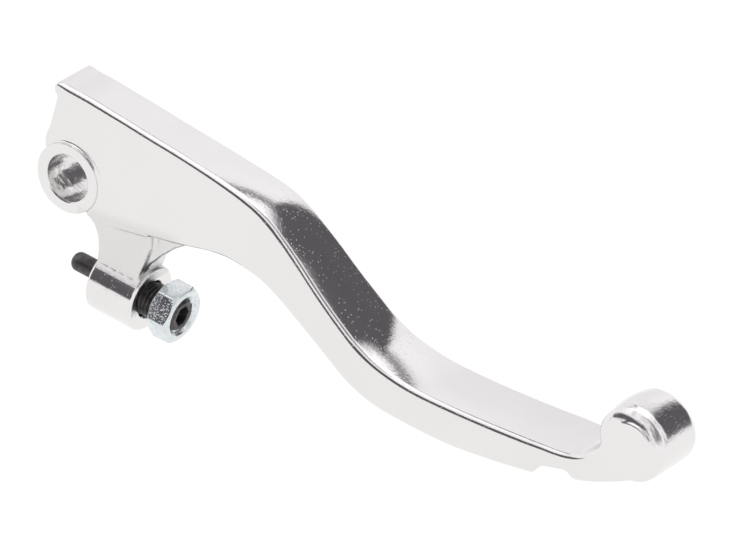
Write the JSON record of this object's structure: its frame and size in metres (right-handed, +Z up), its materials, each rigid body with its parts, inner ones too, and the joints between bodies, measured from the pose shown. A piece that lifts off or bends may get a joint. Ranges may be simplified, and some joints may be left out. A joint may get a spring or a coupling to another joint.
{
  "type": "clutch lever",
  "caption": "S-curved hand lever with a pivot boss and bore, a finger blade ending in a rounded knob, and a threaded barrel that holds a reach adjuster screw with its lock nut.",
  "frame": {"origin": "centre of the pivot bore, half way through the lever", "axes": "+X towards the knob end, +Y along the pivot axis, +Z up, away from the adjuster"},
  "size_m": [0.1634, 0.0168, 0.0555],
  "materials": {
    "polished_aluminium": "polished",
    "black_oxide_steel": "black oxide, satin",
    "zinc_plated_steel": "bluish zinc plating"
  },
  "bodies": {
    "lever_body": {"lever": "polished_aluminium"},
    "screw_body": {"adjuster_screw": "black_oxide_steel"},
    "nut_body": {"lock_nut": "zinc_plated_steel"}
  },
  "joints": [
    {"name": "reach_adjuster", "type": "slide", "parent": "lever_body", "child": "screw_body", "axis": [0.9857, 0, -0.1685], "range_m": [-0.003, 0.003]},
    {"name": "lock_nut_travel", "type": "slide", "parent": "lever_body", "child": "nut_body", "axis": [0.9857, 0, -0.1685], "range_m": [-0.003, 0]}
  ]
}
